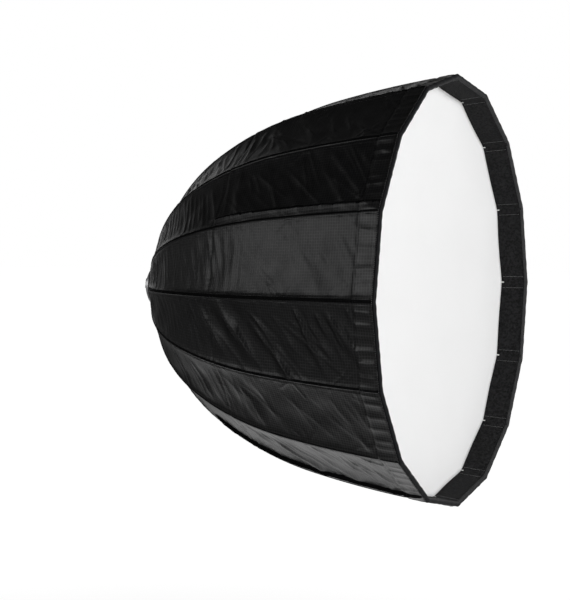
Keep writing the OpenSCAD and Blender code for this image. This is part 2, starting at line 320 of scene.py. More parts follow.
def rear_folds(fold, rng, pull):
    """Folds across the gore behind the cross seam, leaning forward as they go down"""
    s = S_ROOT + 0.012
    while s < S_CROSS + 0.03:
        w = side_width(s)
        share = (s - S_ROOT) / (S_CROSS - S_ROOT)
        lean = rng.uniform(0.05, 0.42) * w
        up, down = rng.uniform(0.3, 0.5, 2) * w
        height = rng.uniform(0.35, 1.0) * (REAR_FOLD_H - 0.0005 * share) * pull
        width = rng.uniform(0.8, 1.4) * (0.0042 + 0.0035 * share)
        fold((-down, s + lean / 2), (up, s - lean / 2), width, height, 0.22)
        s += rng.uniform(0.01, 0.018) + 0.01 * share


def slanting_pull(fold, rng, s, pull, top, drop, lean, width, share, height, taper):
    """A fold that starts at s and runs down and forward; top to share are ranges to draw from"""
    w = side_width(s)
    start = rng.uniform(*top) * w
    fall = rng.uniform(*drop) * w
    end = (start - fall, s + fall * rng.uniform(*lean))
    fold((start, s), end, rng.uniform(*width), rng.uniform(*share) * height * pull, taper)


def middle_folds(fold, rng, pull):
    """Soft upright folds in front of the cross seam, and slanting pulls"""
    for _ in range(8):
        s = S_CROSS + 0.015 + abs(rng.normal(0, 0.1))
        w = side_width(s)
        lean = rng.uniform(-0.1, 0.25) * w
        fold((-0.48 * w, s + lean / 2), (0.48 * w, s - lean / 2), rng.uniform(0.007, 0.012),
             rng.uniform(-0.5, 0.9) * UPRIGHT_FOLD_H)
    for _ in range(9):
        slanting_pull(fold, rng, rng.uniform(S_CROSS - 0.05, S_HEM - 0.05), pull, **BROAD_PULL)
    for _ in range(13):
        slanting_pull(fold, rng, rng.uniform(S_CROSS - 0.02, S_HEM - 0.08), pull, **NARROW_PULL)


def front_folds(fold, rng, pull):
    """Short slanting folds below the upper seam, just behind the hem"""
    for _ in range(9):
        slanting_pull(fold, rng, S_HEM - rng.uniform(0.03, 0.24), pull, **FRONT_PULL)


def corner_folds(fold, rng, pull):
    """Short pulls at the two corners where the hem crosses the rods"""
    half = side_width(S_HEM) / 2
    for side in (-1, 1):
        for _ in range(4):
            near = side * (half - rng.uniform(0.004, 0.03))
            far = side * (half - rng.uniform(0.035, 0.09))
            start = S_HEM - rng.uniform(0.0, 0.08)
            fold((near, start), (far, S_HEM + rng.uniform(-0.05, 0.055)), rng.uniform(0.0045, 0.0065),
                 rng.uniform(0.4, 1.0) * CORNER_FOLD_H * pull, 0.2)


def strap_folds(fold, rng):
    """Short folds that spread from where a baffle strap pulls at a seam"""
    half = side_width(S_STRAP) / 2
    for side in (-1, 1):
        for angle in (-0.9, -0.25, 0.5):
            reach = rng.uniform(0.035, 0.075)
            end = (side * (half - reach * math.cos(angle)), S_STRAP + reach * math.sin(angle))
            fold((side * half, S_STRAP), end, 0.0055, rng.uniform(0.5, 1) * STRAP_FOLD_H, 0.15)


def uneven_steps(rng, first, last, step):
    """Places from first to last, with a drawn step between them"""
    at = first
    while at < last:
        yield at
        at += rng.uniform(*step)


def hem_puckers(fold, rng, pull):
    """Puckers that run forward through the doubled hem"""
    half = side_width(S_HEM) / 2
    for t in uneven_steps(rng, -half + 0.012, half - 0.008, (0.024, 0.046)):
        lean = rng.uniform(-0.006, 0.006)
        height = rng.uniform(0.45, 1.0) * HEM_PUCKER_H * (0.35 + 0.6 * pull)
        start = (t, S_HEM - rng.uniform(0.002, 0.014))
        fold(start, (t + lean, S_FRONT + 0.01), rng.uniform(0.0085, 0.0135), height, 0.18)


def cross_puckers(fold, rng):
    """Short puckers along the stitching of the cross seam"""
    half = side_width(S_CROSS) / 2
    for t in uneven_steps(rng, -half + 0.01, half - 0.01, (0.01, 0.022)):
        reach = rng.uniform(0.012, 0.03)
        end = (t + rng.uniform(-0.004, 0.004), S_CROSS + reach)
        fold((t, S_CROSS - reach), end, 0.0045, rng.uniform(0.2, 1.0) * CROSS_PUCKER_H, 0.4)


def slow_swell(field, places, rng, u):
    """Broad unevenness of the stretched cloth"""
    across, along = places
    for _ in range(4):
        waves = 2 * math.pi * rng.uniform(4, 11, 2)
        phase = rng.uniform(0, 2 * math.pi, 2)
        swell = np.cos(waves[0] * across + phase[0]) * np.cos(waves[1] * along + phase[1])
        field += SWELL_H * swell * 4 * u * (1 - u)


def bell(size, v):
    """A smooth rise of the given height and width at 0"""
    height, width = size
    return height * np.exp(-(v / width) ** 2)


def seam_lines(s):
    """Steps and grooves of the two seams that run round the canopy"""
    cross = bell(CROSS_STEP, s - S_CROSS - CROSS_STEP_AT) - bell(CROSS_GROOVE, s - S_CROSS)
    hem = HEM_STEP[0] * smooth(0, HEM_STEP[1], s - S_HEM) - bell(HEM_GROOVE, s - S_HEM)
    return cross + hem


def seam_puckers(k):
    """Puckers along the seam of rod k: place, side, reach, height, width and lean"""
    rng = np.random.default_rng(400 + k)
    return [(at, rng.choice((-1, 1)), rng.uniform(0.012, 0.034), rng.uniform(0.25, 1) * SEAM_PUCKER_H,
             rng.uniform(0.0042, 0.0065), rng.uniform(-0.5, 0.5))
            for at in uneven_steps(rng, S_ROOT + 0.02, S_FRONT - 0.01, (0.008, 0.018))]


def flap_edge(k, s):
    """Unevenness of a flap's free edge along rod k, from -1 to 1"""
    rng = np.random.default_rng(480 + k)
    edge = np.zeros_like(s)
    for wave in FLAP_EDGE_WAVES:
        edge = edge + np.cos(2 * math.pi * s / wave + rng.uniform(0, 6)) / len(FLAP_EDGE_WAVES)
    return edge


def flap_share(k, s):
    """0 behind the flap of rod k, 1 along it, and half as much at the front edge"""
    if k not in FLAP_FROM_X:
        return np.zeros_like(s)
    first = station(FLAP_FROM_X[k], SKIN)
    return smooth(first - 0.04, first + 0.04, s) * (1 - 0.5 * smooth(S_HEM, S_FRONT - 0.012, s))


def flap_relief(k, s, t):
    """The loose flap of a wide pocket: it rises to a free, puckered edge"""
    edge = flap_edge(k, s)
    end = FLAP_END + FLAP_WAVE * edge
    climb = np.clip(t - FLAP_START, 0, end - FLAP_START)
    fall = 1 - smooth(end, end + FLAP_DROP, t)
    return FLAP_SLOPE * (1 + 0.06 * edge) * climb * fall * flap_share(k, s)


def rod_relief(k, s, t):
    """Relief at one rod: its pocket and groove beside the seam, the puckers and the flap"""
    side = np.abs(t)
    grow = smooth(S_ROOT, ROOT_END, s)
    loose = 1 - 0.75 * flap_share(k, s) * (t > 0)
    relief = loose * bell(POCKET, t - POCKET_AT * grow) - bell(GROOVE, t - GROOVE_AT)
    relief = relief * (0.25 + 0.75 * grow)
    for at, way, reach, height, width, lean in seam_puckers(k):
        window = smooth(0.002, 0.007, side) * smooth(reach, 0.3 * reach, side) * (t * way > 0)
        relief = relief + loose * window * bell((height, width), s - at - lean * side)
    return relief + flap_relief(k, s, t)


def gore_field(g, s):
    """Height of the cloth of gore g over its flat form"""
    rng = np.random.default_rng(100 + g)
    u = GORE_U
    w = side_width(s)[:, None]
    along = np.broadcast_to(s[:, None], (len(s), COLUMNS + 1))
    places = ((u - 0.5) * w, along)
    field = np.zeros(along.shape)
    fold = partial(crease, field, places)
    pull = PULLS.get(g, 1.0)
    rear_folds(fold, rng, REAR_PULLS.get(g, 1.0))
    middle_folds(fold, rng, pull)
    strap_folds(fold, rng)
    corner_folds(fold, rng, 0.2 + 0.8 * pull)
    hem_puckers(fold, rng, HEM_PULLS.get(g, 1.0))
    cross_puckers(fold, rng)
    slow_swell(field, places, rng, u)
    front_folds(fold, np.random.default_rng(600 + g), pull)
    # Folds end at the seams and are weak on a flap
    field *= smooth(0, 0.06, u) * smooth(0, 0.06, 1 - u)
    field *= 1 - 0.8 * flap_share(g, along) * smooth(FLAP_END + 0.012, FLAP_END, u * w)
    field += seam_lines(along)
    # The cloth sags between the rods, but less at the hub and at the front
    hold = smooth(S_ROOT, 0.35, along) * (1 - 0.75 * smooth(S_HEM - 0.15, S_FRONT, along))
    field -= SAG * hold * (4 * u * (1 - u)) ** 0.8
    field += rod_relief(g, along, u * w) + rod_relief((g + 1) % SIDES, along, -(1 - u) * w)
    # The binding holds the front edge nearly flat
    return field * (1 - 0.85 * smooth(S_FRONT - 0.014, S_FRONT - 0.004, along))


def canopy_ring():
    """Outer points of the whole canopy, their normals and the way out"""
    x, r = offset_line(ROWS, SKIN)
    points = ring_grid(x, r, RING_TURNS)
    slope = spine(ROWS)[2][:, None]
    out = turned(-np.sin(slope), np.cos(slope), RING_TURNS * STEP)
    height = np.concatenate([gore_field(g, ROWS)[:, :-1] for g in range(SIDES)], 1)
    points = points + out * height[..., None]
    along = np.gradient(points, axis=0)
    sideways = np.roll(points, -1, 1) - np.roll(points, 1, 1)
    return points, unit(np.cross(along, sideways)), out


# Meshes

# Values at the corners of faces, and how many numbers each has
LAYERS = {"normal": 3, "weave": 2, "seam": 2}
OCTAHEDRON = [(0, 2, 4), (2, 1, 4), (1, 3, 4), (3, 0, 4), (2, 0, 5), (1, 2, 5), (3, 1, 5), (0, 3, 5)]
WELD = 1e-6


def add_object(name, data):
    """Puts a mesh, lamp or camera into the scene"""
    thing = bpy.data.objects.new(name, data)
    bpy.context.scene.collection.objects.link(thing)
    return thing


class Part:
    """Collects grids and small solids into one mesh"""

    def __init__(self):
        self.points, self.faces, self.slots = [], [], []
        self.layers = {name: [] for name in LAYERS}
        self.count = 0

    def add(self, points, faces, slot, **layers):
        """layers hold one row for each corner of each face, and zeros stand for one that is not given"""
        corners = sum(len(f) for f in faces)
        self.faces += [[self.count + i for i in f] for f in faces]
        self.slots += [slot] * len(faces)
        self.points.append(np.reshape(points, (-1, 3)))
        self.count += len(self.points[-1])
        for name, width in LAYERS.items():
            values = layers.get(name, np.zeros(corners * width))
            self.layers[name].append(np.reshape(values, (-1, width)))

    def build(self, name, materials):
        """Makes the mesh an object of the scene"""
        mesh = bpy.data.meshes.new(name)
        mesh.from_pydata(np.concatenate(self.points).tolist(), [], self.faces, shade_flat=False)
        for material in materials:
            mesh.materials.append(material)
        mesh.polygons.foreach_set("material_index", self.slots)
        layers = {key: np.concatenate(rows) for key, rows in self.layers.items()}
        for key in ("weave", "seam"):
            mesh.uv_layers.new(name=key).data.foreach_set("uv", layers[key].ravel())
        mesh.normals_split_custom_set(layers["normal"].tolist())
        return add_object(name, mesh)


def grid_quads(rows, columns):
    i = np.arange((rows + 1) * (columns + 1)).reshape(rows + 1, columns + 1)
    return np.stack([i[:-1, :-1], i[1:, :-1], i[1:, 1:], i[:-1, 1:]], -1).reshape(-1, 4)


def grid_normals(points):
    return unit(np.cross(np.gradient(points, axis=0), np.gradient(points, axis=1)))


def grid_places(across, along):
    """Flat place (across, along) of each point of a grid"""
    return np.stack(np.broadcast_arrays(across, along), -1)


def corner_values(values, quads):
    """One row for each corner of the quads of a grid"""
    return values.reshape(-1, values.shape[-1])[quads.reshape(-1)]


def sunk_back(face, out, depth, coarse):
    """Coarse back of a fine face: depth below it, and lower where it would stand out between its points"""
    back = face[::coarse, ::coarse] - depth * out[::coarse, ::coarse]
    cells, shares = [], []
    for count, last in zip(face.shape[:2], back.shape[:2]):
        at = np.arange(count)
        cell = np.minimum(at // coarse, last - 2)
        cells.append(cell)
        shares.append(at / coarse - cell)
    corners = [(i, j) for i in (0, 1) for j in (0, 1)]
    between = 0
    for i, j in corners:
        weight = np.abs(1 - i - shares[0])[:, None] * np.abs(1 - j - shares[1])[None]
        between = between + weight[..., None] * back[(cells[0] + i)[:, None], (cells[1] + j)[None]]
    lack = np.maximum(depth / 2 - np.sum((face - between) * out, -1), 0)
    sink = np.zeros(back.shape[:2])
    for i, j in corners:
        np.maximum.at(sink, ((cells[0] + i)[:, None], (cells[1] + j)[None]), lack)
    return back - sink[..., None] * out[::coarse, ::coarse]


def sheet_walls(front, back, coarse):
    """Faces between the edges of a fine grid of point numbers and those of its coarse back"""
    walls = []
    for turn in range(4):
        edge, back_edge = np.rot90(front, turn)[0], np.rot90(back, turn)[0]
        for m in range(len(back_edge) - 1):
            walls.append([*edge[m * coarse:(m + 1) * coarse + 1], back_edge[m + 1], back_edge[m]])
    return walls


def add_sheet(part, face, normals, depth, weave=None, seam=None, seam_column=0, coarse=1, slots=(0, 0),
              out=None):
    """A thin closed sheet: a fine grid, a coarser back depth behind it, and walls. weave has the places for
    each side of the seam column, and out the way out where the normals are wrinkled."""
    quads = grid_quads(face.shape[0] - 1, face.shape[1] - 1)
    back = sunk_back(face, normals if out is None else out, depth, coarse)
    back_quads = grid_quads(back.shape[0] - 1, back.shape[1] - 1)[:, ::-1]
    layers = {"normal": corner_values(normals, quads)}
    back_layers = {"normal": corner_values(-normals[::coarse, ::coarse], back_quads)}
    if seam is not None:
        right = (quads[:, 0] % face.shape[1]) >= seam_column
        places = [corner_values(w, quads).reshape(-1, 4, 2) for w in weave or (seam, seam)]
        layers["weave"] = np.where(right[:, None, None], places[1], places[0])
        layers["seam"] = corner_values(seam, quads)
        back_layers["weave"] = corner_values(seam[::coarse, ::coarse], back_quads)
    front_numbers = part.count + np.arange(face[..., 0].size).reshape(face.shape[:2])
    part.add(face, quads.tolist(), slots[0], **layers)
    back_numbers = part.count + np.arange(back[..., 0].size).reshape(back.shape[:2])
    part.add(back, back_quads.tolist(), slots[1], **back_layers)
    walls = sheet_walls(front_numbers, back_numbers, coarse)
    part.add(np.zeros((0, 3)), [[int(i) - part.count for i in w] for w in walls], slots[0])


def add_stitches(part, line, normals, slot, pitch=STITCH_PITCH, fill=STITCH_FILL):
    """A row of slim stitches along a line of points"""
    steps = path_length(line)
    count = max(1, int(steps[-1] / pitch))
    at = (np.arange(count) + 0.5) * steps[-1] / count
    a, b = (values_at(at + end * fill * pitch / 2, steps, line) for end in (-1, 1))
    up = unit(values_at(at, steps, normals))
    middle = (a + b) / 2
    side = unit(np.cross(up, b - a)) * STITCH_W / 2
    rise = up * STITCH_H
    corners = np.stack([a, b, middle + side, middle - side, middle + rise, middle - rise], 1)
    faces = [[6 * i + c for c in f] for i in range(count) for f in OCTAHEDRON]
    part.add(corners, faces, slot)


def weld(piece):
    """Joins the doubled points where two grids of one piece meet"""
    mesh = bmesh.new()
    mesh.from_mesh(piece.data)
    bmesh.ops.remove_doubles(mesh, verts=mesh.verts, dist=WELD)
    bmesh.ops.recalc_face_normals(mesh, faces=mesh.faces)
    mesh.to_mesh(piece.data)
    mesh.free()


# Materials

class Nodes:
    """Shader nodes of a material or a world"""

    def __init__(self, tree):
        self.tree = tree

    def feed(self, node, inputs):
        """Sets or links inputs. Their names have _ for a space, or are i and a number.
        A node stands for its first output."""
        for key, value in inputs.items():
            place = int(key[1:]) if key[0] == "i" and key[1:].isdigit() else key.replace("_", " ")
            if isinstance(value, bpy.types.Node):
                value = value.outputs[0]
            if isinstance(value, bpy.types.NodeSocket):
                self.tree.links.new(value, node.inputs[place])
            else:
                node.inputs[place].default_value = value

    def add(self, kind, settings=None, **inputs):
        node = self.tree.nodes.new("ShaderNode" + kind)
        for key, value in (settings or {}).items():
            setattr(node, key, value)
        self.feed(node, inputs)
        return node

    def compute(self, operation, a, b=0.0):
        return self.add("Math", {"operation": operation}, i0=a, i1=b)

    def plus(self, a, b):
        return self.compute("ADD", a, b)

    def times(self, a, b):
        return self.compute("MULTIPLY", a, b)

    def mapped(self, value, lo, hi, to_lo=0.0, to_hi=1.0, kind="SMOOTHSTEP"):
        """Goes from to_lo to to_hi as value goes from lo to hi"""
        return self.add("MapRange", {"interpolation_type": kind}, Value=value, From_Min=lo, From_Max=hi,
                        To_Min=to_lo, To_Max=to_hi)

    def spread(self, cloud, lo, hi):
        """Spreads a noise, which lies round one half, from lo to hi"""
        return self.mapped(cloud, 0.2, 0.8, lo, hi)

    def object_place(self):
        return self.add("TexCoord").outputs["Object"]

    def map_place(self, name):
        return self.add("UVMap", {"uv_map": name})

    def split(self, vector):
        return self.add("SeparateXYZ", Vector=vector).outputs[:]

    def scaled(self, place, scale):
        return self.add("Mapping", Vector=place, Scale=scale)

    def noise(self, place, scale, detail=3.0, rough=0.55):
        return self.add("TexNoise", Vector=place, Scale=scale, Detail=detail, Roughness=rough)

    def cells(self, place, scale):
        return self.add("TexVoronoi", Vector=place, Scale=scale).outputs["Distance"]

    def lines(self, value, pitch, width):
        """1 on evenly spaced lines of the given width, 0 between them"""
        distance = self.compute("PINGPONG", value, pitch / 2)
        return self.mapped(distance, width / 2, width, 1.0, 0.0)

    def seen(self, path):
        """1 for what the camera sees straight or through something clear"""
        return self.compute("MAXIMUM", path.outputs["Is Camera Ray"], path.outputs["Is Transmission Ray"])


class Finish(Nodes):
    """A material whose nodes feed one shader"""

    def __init__(self, name):
        self.material = bpy.data.materials.new(name)
        self.material.use_nodes = True
        super().__init__(self.material.node_tree)
        self.shader = self.tree.nodes["Principled BSDF"]

    def made(self, colour, roughness, bump=None, **others):
        """The material, with colour as (factor, dark, light) and bump as (height, depth)"""
        factor, dark, light = colour
        mix = self.add("Mix", {"data_type": "RGBA"}, i0=factor, i6=(*dark, 1), i7=(*light, 1))
        self.feed(self.shader, {"Base_Color": mix.outputs[2], "Roughness": roughness, **others})
        if bump:
            relief = self.add("Bump", Height=bump[0], Distance=bump[1], Strength=1.0)
            self.feed(self.shader, {"Normal": relief})
        return self.material


def ripstop_cloth():
    """Black nylon with a thicker thread every few millimetres, fine crinkles across and sewn seams"""
    n = Finish("ripstop")
    weave = n.map_place("weave")
    across, along, _ = n.split(weave)
    beside, s, _ = n.split(n.map_place("seam"))
    threads = n.compute("MAXIMUM", n.lines(across, RIPSTOP, THREAD_W), n.lines(along, RIPSTOP, THREAD_W))
    crinkle = n.noise(n.scaled(weave, (14, 95, 1)), 1.0, 4.0)
    mottle = n.noise(n.scaled(weave, (22, 22, 1)), 1.0)
    fine = n.noise(n.scaled(weave, (900, 900, 1)), 1.0, 1.0)
    # 1 on the dull tape beside a seam
    felled = n.times(n.mapped(beside, -0.15, 0.0), n.mapped(beside, 0.9, 1.1, 1.0, 0.0))
    tint = n.plus(n.mapped(mottle, 0.3, 0.7, 0.0, 0.6), n.times(threads, 0.5))
    rough = n.mapped(n.plus(mottle, n.times(threads, 0.12)), 0.25, 0.85, 0.3, 0.42, "LINEAR")
    gloss = n.times(n.mapped(threads, 0.0, 1.0, 0.5, 0.85), n.mapped(felled, 0.0, 1.0, 1.0, 0.06))
    # A little less gloss at the hub, and more on the doubled hem
    gloss = n.times(gloss, n.mapped(s, 0.12, 0.36, 0.9, 1.0))
    gloss = n.times(gloss, n.mapped(s, S_HEM, S_HEM + 0.003, 1.0, 1.25))
    height = n.plus(n.times(threads, 0.1), n.times(crinkle, 0.85))
    height = n.plus(height, n.plus(n.times(fine, 0.05), n.times(felled, 0.5)))
    return n.made((tint, (0.003, 0.003, 0.0032), (0.007, 0.007, 0.0074)),
                  n.plus(rough, n.times(felled, 0.3)), (height, 0.001), Specular_IOR_Level=gloss)


def silver_lining():
    """Silver coated cloth with a small pebbled emboss"""
    n = Finish("silver_lining")
    place = n.object_place()
    tint = n.noise(place, 7.0)
    return n.made((tint, (0.62, 0.63, 0.64), (0.8, 0.8, 0.81)), n.spread(tint, 0.3, 0.44),
                  (n.cells(place, 170.0), 0.0007), Metallic=0.85)


def loop_pile():
    """Dense black loop pile of the sewn band"""
    n = Finish("loop_pile")
    place = n.object_place()
    nap = n.mapped(n.noise(place, 140.0, 4.0, 0.75), 0.4, 0.6)
    height = n.plus(n.cells(place, 620.0), n.times(nap, 1.2))
    return n.made((nap, (0.002, 0.002, 0.0022), (0.021, 0.021, 0.022)),
                  n.mapped(nap, 0.0, 1.0, 0.8, 0.95), (height, 0.0008), Specular_IOR_Level=0.2)


def ribbed_tape(name, dark, light, pitch, roughness, shaded_leg=0.0):
    """Woven tape with fine ribs across it; with a shaded_leg the whole tape is dull, its outer leg and turn have
    painted shade, and its inner leg a lighter painted lit tone
    """
    n = Finish(name)
    across, along, _ = n.split(n.map_place("seam"))
    nap = n.noise(n.object_place(), 220.0)
    factor = n.plus(n.times(n.lines(across, pitch, pitch * 0.45), 0.45), n.times(nap, 0.6))
    gloss = {}
    if shaded_leg:
        # Painted shade and light: the colour is dark on the outer leg and turn, and light on the inner leg
        factor = n.times(factor, n.mapped(along, 2.4 * shaded_leg, 4.4 * shaded_leg, 0.1, 1.0))
        gloss = {"Specular_IOR_Level": 0.06}
    return n.made((factor, dark, light), n.spread(nap, roughness - 0.08, roughness + 0.08),
                  (factor, 0.0004), **gloss)


def thread(name, dark, light):
    """Twisted sewing thread"""
    n = Finish(name)
    twist = n.noise(n.object_place(), 900.0, 2.0)
    return n.made((twist, dark, light), n.spread(twist, 0.4, 0.55))


def white_cloth():
    """Plain white diffusion nylon, a little uneven, with a fine weave"""
    n = Finish("white_cloth")
    place = n.object_place()
    _, y, z = n.split(place)
    weave = n.plus(n.lines(y, 0.0012, 0.0005), n.lines(z, 0.0012, 0.0005))
    cloud = n.noise(place, 5.0, 4.0)
    crinkle = n.noise(place, 26.0, 4.0)
    height = n.plus(n.times(weave, 0.06), n.times(crinkle, 0.5))
    return n.made((cloud, (0.89, 0.89, 0.89), (0.92, 0.92, 0.92)), n.spread(cloud, 0.62, 0.76),
                  (height, 0.0008), Specular_IOR_Level=0.25, Sheen_Weight=0.1)


def turned_metal(name, colour, roughness, rings):
    """Metal with fine marks round the optical axis, as from a lathe"""
    n = Finish(name)
    place = n.object_place()
    x, y, z = n.split(place)
    radius = n.compute("SQRT", n.plus(n.compute("POWER", y, 2.0), n.compute("POWER", z, 2.0)))
    lathe = n.noise(n.add("CombineXYZ", X=x, Y=radius), rings, 2.0)
    dull = tuple(0.8 * c for c in colour)
    return n.made((n.noise(place, 35.0), dull, colour), n.spread(lathe, roughness - 0.07, roughness + 0.1),
                  (lathe, 0.0001), Metallic=1.0)


def grained(name, dark, light, roughness, grain, depth):
    """Painted or moulded surface with a fine even grain"""
    n = Finish(name)
    place = n.object_place()
    speck = n.noise(place, grain, 2.0)
    return n.made((n.noise(place, 28.0), dark, light), n.spread(speck, roughness - 0.08, roughness + 0.08),
                  (speck, depth))


def pultruded():
    """Black glass fibre rod, with long faint fibres along it"""
    n = Finish("glass_fibre")
    fibres = n.noise(n.scaled(n.object_place(), (40, 900, 900)), 1.0)
    return n.made((fibres, (0.012, 0.012, 0.013), (0.04, 0.04, 0.042)), n.spread(fibres, 0.28, 0.42),
                  (fibres, 0.0001))


RIPSTOP_CLOTH = ripstop_cloth()
LINING = silver_lining()
PILE = loop_pile()
# The binding's colour has painted shade on its outer leg and turn, and painted light on its inner leg
BINDING = ribbed_tape("binding_tape", (0.007, 0.007, 0.008), (0.072, 0.072, 0.073), 0.0016, 0.62,
                      BINDING_LEG)
HOOK_TAPE = ribbed_tape("hook_tape", (0.8, 0.8, 0.79), (0.9, 0.9, 0.89), 0.0014, 0.75)
ELASTIC = ribbed_tape("elastic", (0.72, 0.72, 0.71), (0.86, 0.86, 0.85), 0.002, 0.8)
THREAD = thread("black_thread", (0.01, 0.01, 0.011), (0.03, 0.03, 0.031))
GREY_THREAD = thread("grey_thread", (0.22, 0.22, 0.22), (0.34, 0.34, 0.34))
WHITE_THREAD = thread("white_thread", (0.66, 0.66, 0.65), (0.82, 0.82, 0.81))
WHITE = white_cloth()


# Canopy

def fold_share(lo, hi):
    """How much of a strip's width is left when the box is folded, so that neighbours still meet"""
    x, r = offset_line(np.linspace(lo, hi, 20), SKIN)
    inward = r * (1 + math.cos(STEP)) / 2
    sideways = r * math.sin(STEP) / 2
    folded = HINGE_R - (x - HINGE_X) * math.sin(FOLD) + (inward - HINGE_R) * math.cos(FOLD)
    return float(min(1, np.max(folded * math.tan(HALF) / sideways)))


def rod_piece(part, name, materials, k, lo, hi):
    """Black cloth that rides on rod k in place of the gores there"""
    piece = part.build(f"{name}_{NUMBERS[k]}", materials)
    rod = f"rod_{NUMBERS[k]}"
    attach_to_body(piece, rod)
    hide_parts(f"gore_panel_{NUMBERS[k]}", f"gore_panel_{NUMBERS[k - 1]}")
    fold_share(lo, hi)
    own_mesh(piece)
    return piece


def dull_places(k, s, t):
    """Distance from rod k's seam in widths of its dull tape; a flap's edge counts as tape too"""
    if k not in FLAP_FROM_X:
        return t / SEAM_TAPE
    end = FLAP_END + FLAP_WAVE * flap_edge(k, s)
    at_edge = (t > end - DULL_BEFORE) & (t < end + FLAP_DROP + DULL_AFTER)
    dull = at_edge & (s > station(FLAP_FROM_X[k], SKIN))
    return np.where(dull, 0.5, t / FLAP_START)


def strip_maps(k, s):
    """Places on the two sewn cloths of rod k's strip, and beside the seam between them"""
    w = side_width(s)[:, None]
    along = np.broadcast_to(s[:, None], (len(s), 2 * HALF_COLUMNS + 1))
    before = np.concatenate([GORE_U[HALF_COLUMNS:], 1 + HALF_U[1:]])
    after = np.concatenate([-HALF_U[::-1], HALF_U[1:]])
    left = grid_places((before - 0.5) * w, along)
    right = grid_places((after - 0.5) * w, along)
    return (left, right), grid_places(dull_places(k, along, after * w), along)


def canopy_strip(k, zone, ring):
    """One length of the canopy on rod k, from gore middle to gore middle, with its stitching"""
    s = zone_rows(zone)
    first = int(np.argmin(np.abs(ROWS - s[0])))
    columns = (k * COLUMNS + np.arange(-HALF_COLUMNS, HALF_COLUMNS + 1)) % (SIDES * COLUMNS)
    face, normals, out = (grid[first:first + len(s)][:, columns] for grid in ring)
    weave, seam = strip_maps(k, s)
    part = Part()
    add_sheet(part, face, normals, CLOTH_DEPTH, weave, seam, HALF_COLUMNS, COARSE, (0, 1), out)
    front_t = weave[1][-1, :, 0] + side_width(s[-1]) / 2
    for side in (-1, 1):
        column = int(np.argmin(np.abs(front_t - side * SEAM_STITCH_T)))
        add_stitches(part, face[:, column], normals[:, column], 2)
    if zone in ("middle", "hem"):
        for row in (1, 3):
            add_stitches(part, face[row], normals[row], 2)
    piece = rod_piece(part, f"canopy_{zone}", (RIPSTOP_CLOTH, LINING, THREAD), k, s[0], s[-1])
    width = float(side_width(s).max())
    area = float(np.trapz(side_width(s), s))


# Lip

LIP_COLUMNS = 36
LIP_POWER = 1.25
LIP_ROWS = 14
NOSE_STEPS = 8
S_BAND = station(FRONT_X - LIP_W - TAPE_W, -BAND)
# The band rounds the ring's corners: by how much, and over what width
CORNER_ROUND = (0.0016, 0.008)
# The band is sewn down along two lines beside each rod, which dent it
LIP_STITCH_T = 0.0152
LIP_STITCH_PITCH = 0.004
LIP_STITCH_FILL = 0.9
LIP_DENT = (0.0007, 0.003)


def lip_turns(k):
    """Columns of a piece of the lip, closer together at the rod"""
    half = 0.5 * (np.arange(LIP_COLUMNS // 2 + 1) / (LIP_COLUMNS // 2)) ** LIP_POWER
    return k + np.concatenate([-half[::-1], half[1:]])


def lip_band(k, binding):
    """The loop band inside the lip, sewn down on both sides of each rod's pocket"""
    turns = lip_turns(k)
    s = np.linspace(S_BAND, S_FRONT, LIP_ROWS + 1)
    x, r = offset_line(s, -BAND)
    t = (turns - k) * side_length(r)[:, None]
    rng = np.random.default_rng(700 + k)
    wave = 0.0005 * np.sin(t / 0.017 + rng.uniform(0, 6)) + 0.0004 * np.sin(t / 0.031 + rng.uniform(0, 6))
    lift = wave * smooth(0, 0.03, np.abs(t)) - bell(LIP_DENT, np.abs(t) - LIP_STITCH_T)
    lift = lift + bell(CORNER_ROUND, (turns - k) * side_length(FRONT_R))
    inward = -np.concatenate([np.zeros((len(turns), 1)), chord(turns)], 1)
    face = (ring_grid(x, r, turns) + unit(inward) * lift[..., None])[:, ::-1]
    normals = grid_normals(face)
    part = Part()
    add_sheet(part, face, normals, BAND_T)
    for side in (-1, 1):
        column = int(np.argmin(np.abs(t[-1, ::-1] - side * LIP_STITCH_T)))
        add_stitches(part, face[4:-1, column], normals[4:-1, column], 1, LIP_STITCH_PITCH, LIP_STITCH_FILL)
    piece = rod_piece(part, "lip_band", (PILE, GREY_THREAD), k, S_HEM, S_FRONT)


def binding_outline():
    """x and radius of the binding's cross-section, from its outer leg to its inner leg"""
    leg = np.linspace(S_FRONT - BINDING_LEG, S_FRONT, 4)
    outer = np.stack(offset_line(leg, SKIN + BINDING_GAP + BINDING_T), -1)
    leg = np.linspace(S_FRONT, S_FRONT - BINDING_IN, 4)
    inner = np.stack(offset_line(leg, -BAND - BINDING_IN_GAP - BINDING_T), -1)
    middle = (outer[-1] + inner[0]) / 2
    half = (outer[-1] - inner[0]) / 2
    forward = np.array([math.cos(TIP_ANGLE), math.sin(TIP_ANGLE)])
    angles = np.linspace(math.pi / 2, -math.pi / 2, NOSE_STEPS + 1)[1:-1]
    nose = [middle + half * math.sin(a) + forward * NOSE_L * math.cos(a) for a in angles]
    return np.concatenate([outer, nose, inner])


def lip_binding(k):
    """Woven tape folded over the front edge, with a row of stitches on each leg"""
    outline = binding_outline()
    turns = lip_turns(k)
    face = ring_grid(outline[:, 0], outline[:, 1], turns)
    rng = np.random.default_rng(800 + k)
    t = (turns - k) * side_length(FRONT_R)
    ripple = 0.0006 * np.sin(t / 0.0062 + rng.uniform(0, 6)) * np.sin(t / 0.023 + rng.uniform(0, 6))
    face = face + grid_normals(face) * ripple[:, None]
    normals = grid_normals(face)
    places = grid_places(t, path_length(outline)[:, None])
    part = Part()
    add_sheet(part, face, normals, BINDING_T, seam=places)
    # The outer leg's stitches are real, in grey thread that also paints a thin highlight along the binding's edge
    for row, slot in ((1, 2), (len(outline) - 2, 1)):
        add_stitches(part, face[row], normals[row], slot)
    return rod_piece(part, "lip_binding", (BINDING, THREAD, GREY_THREAD), k, S_HEM, S_FRONT)


# White cloths

DISC_SIDE = 12
DISC_HEM = 0.016
DISC_FOLD = 0.0005
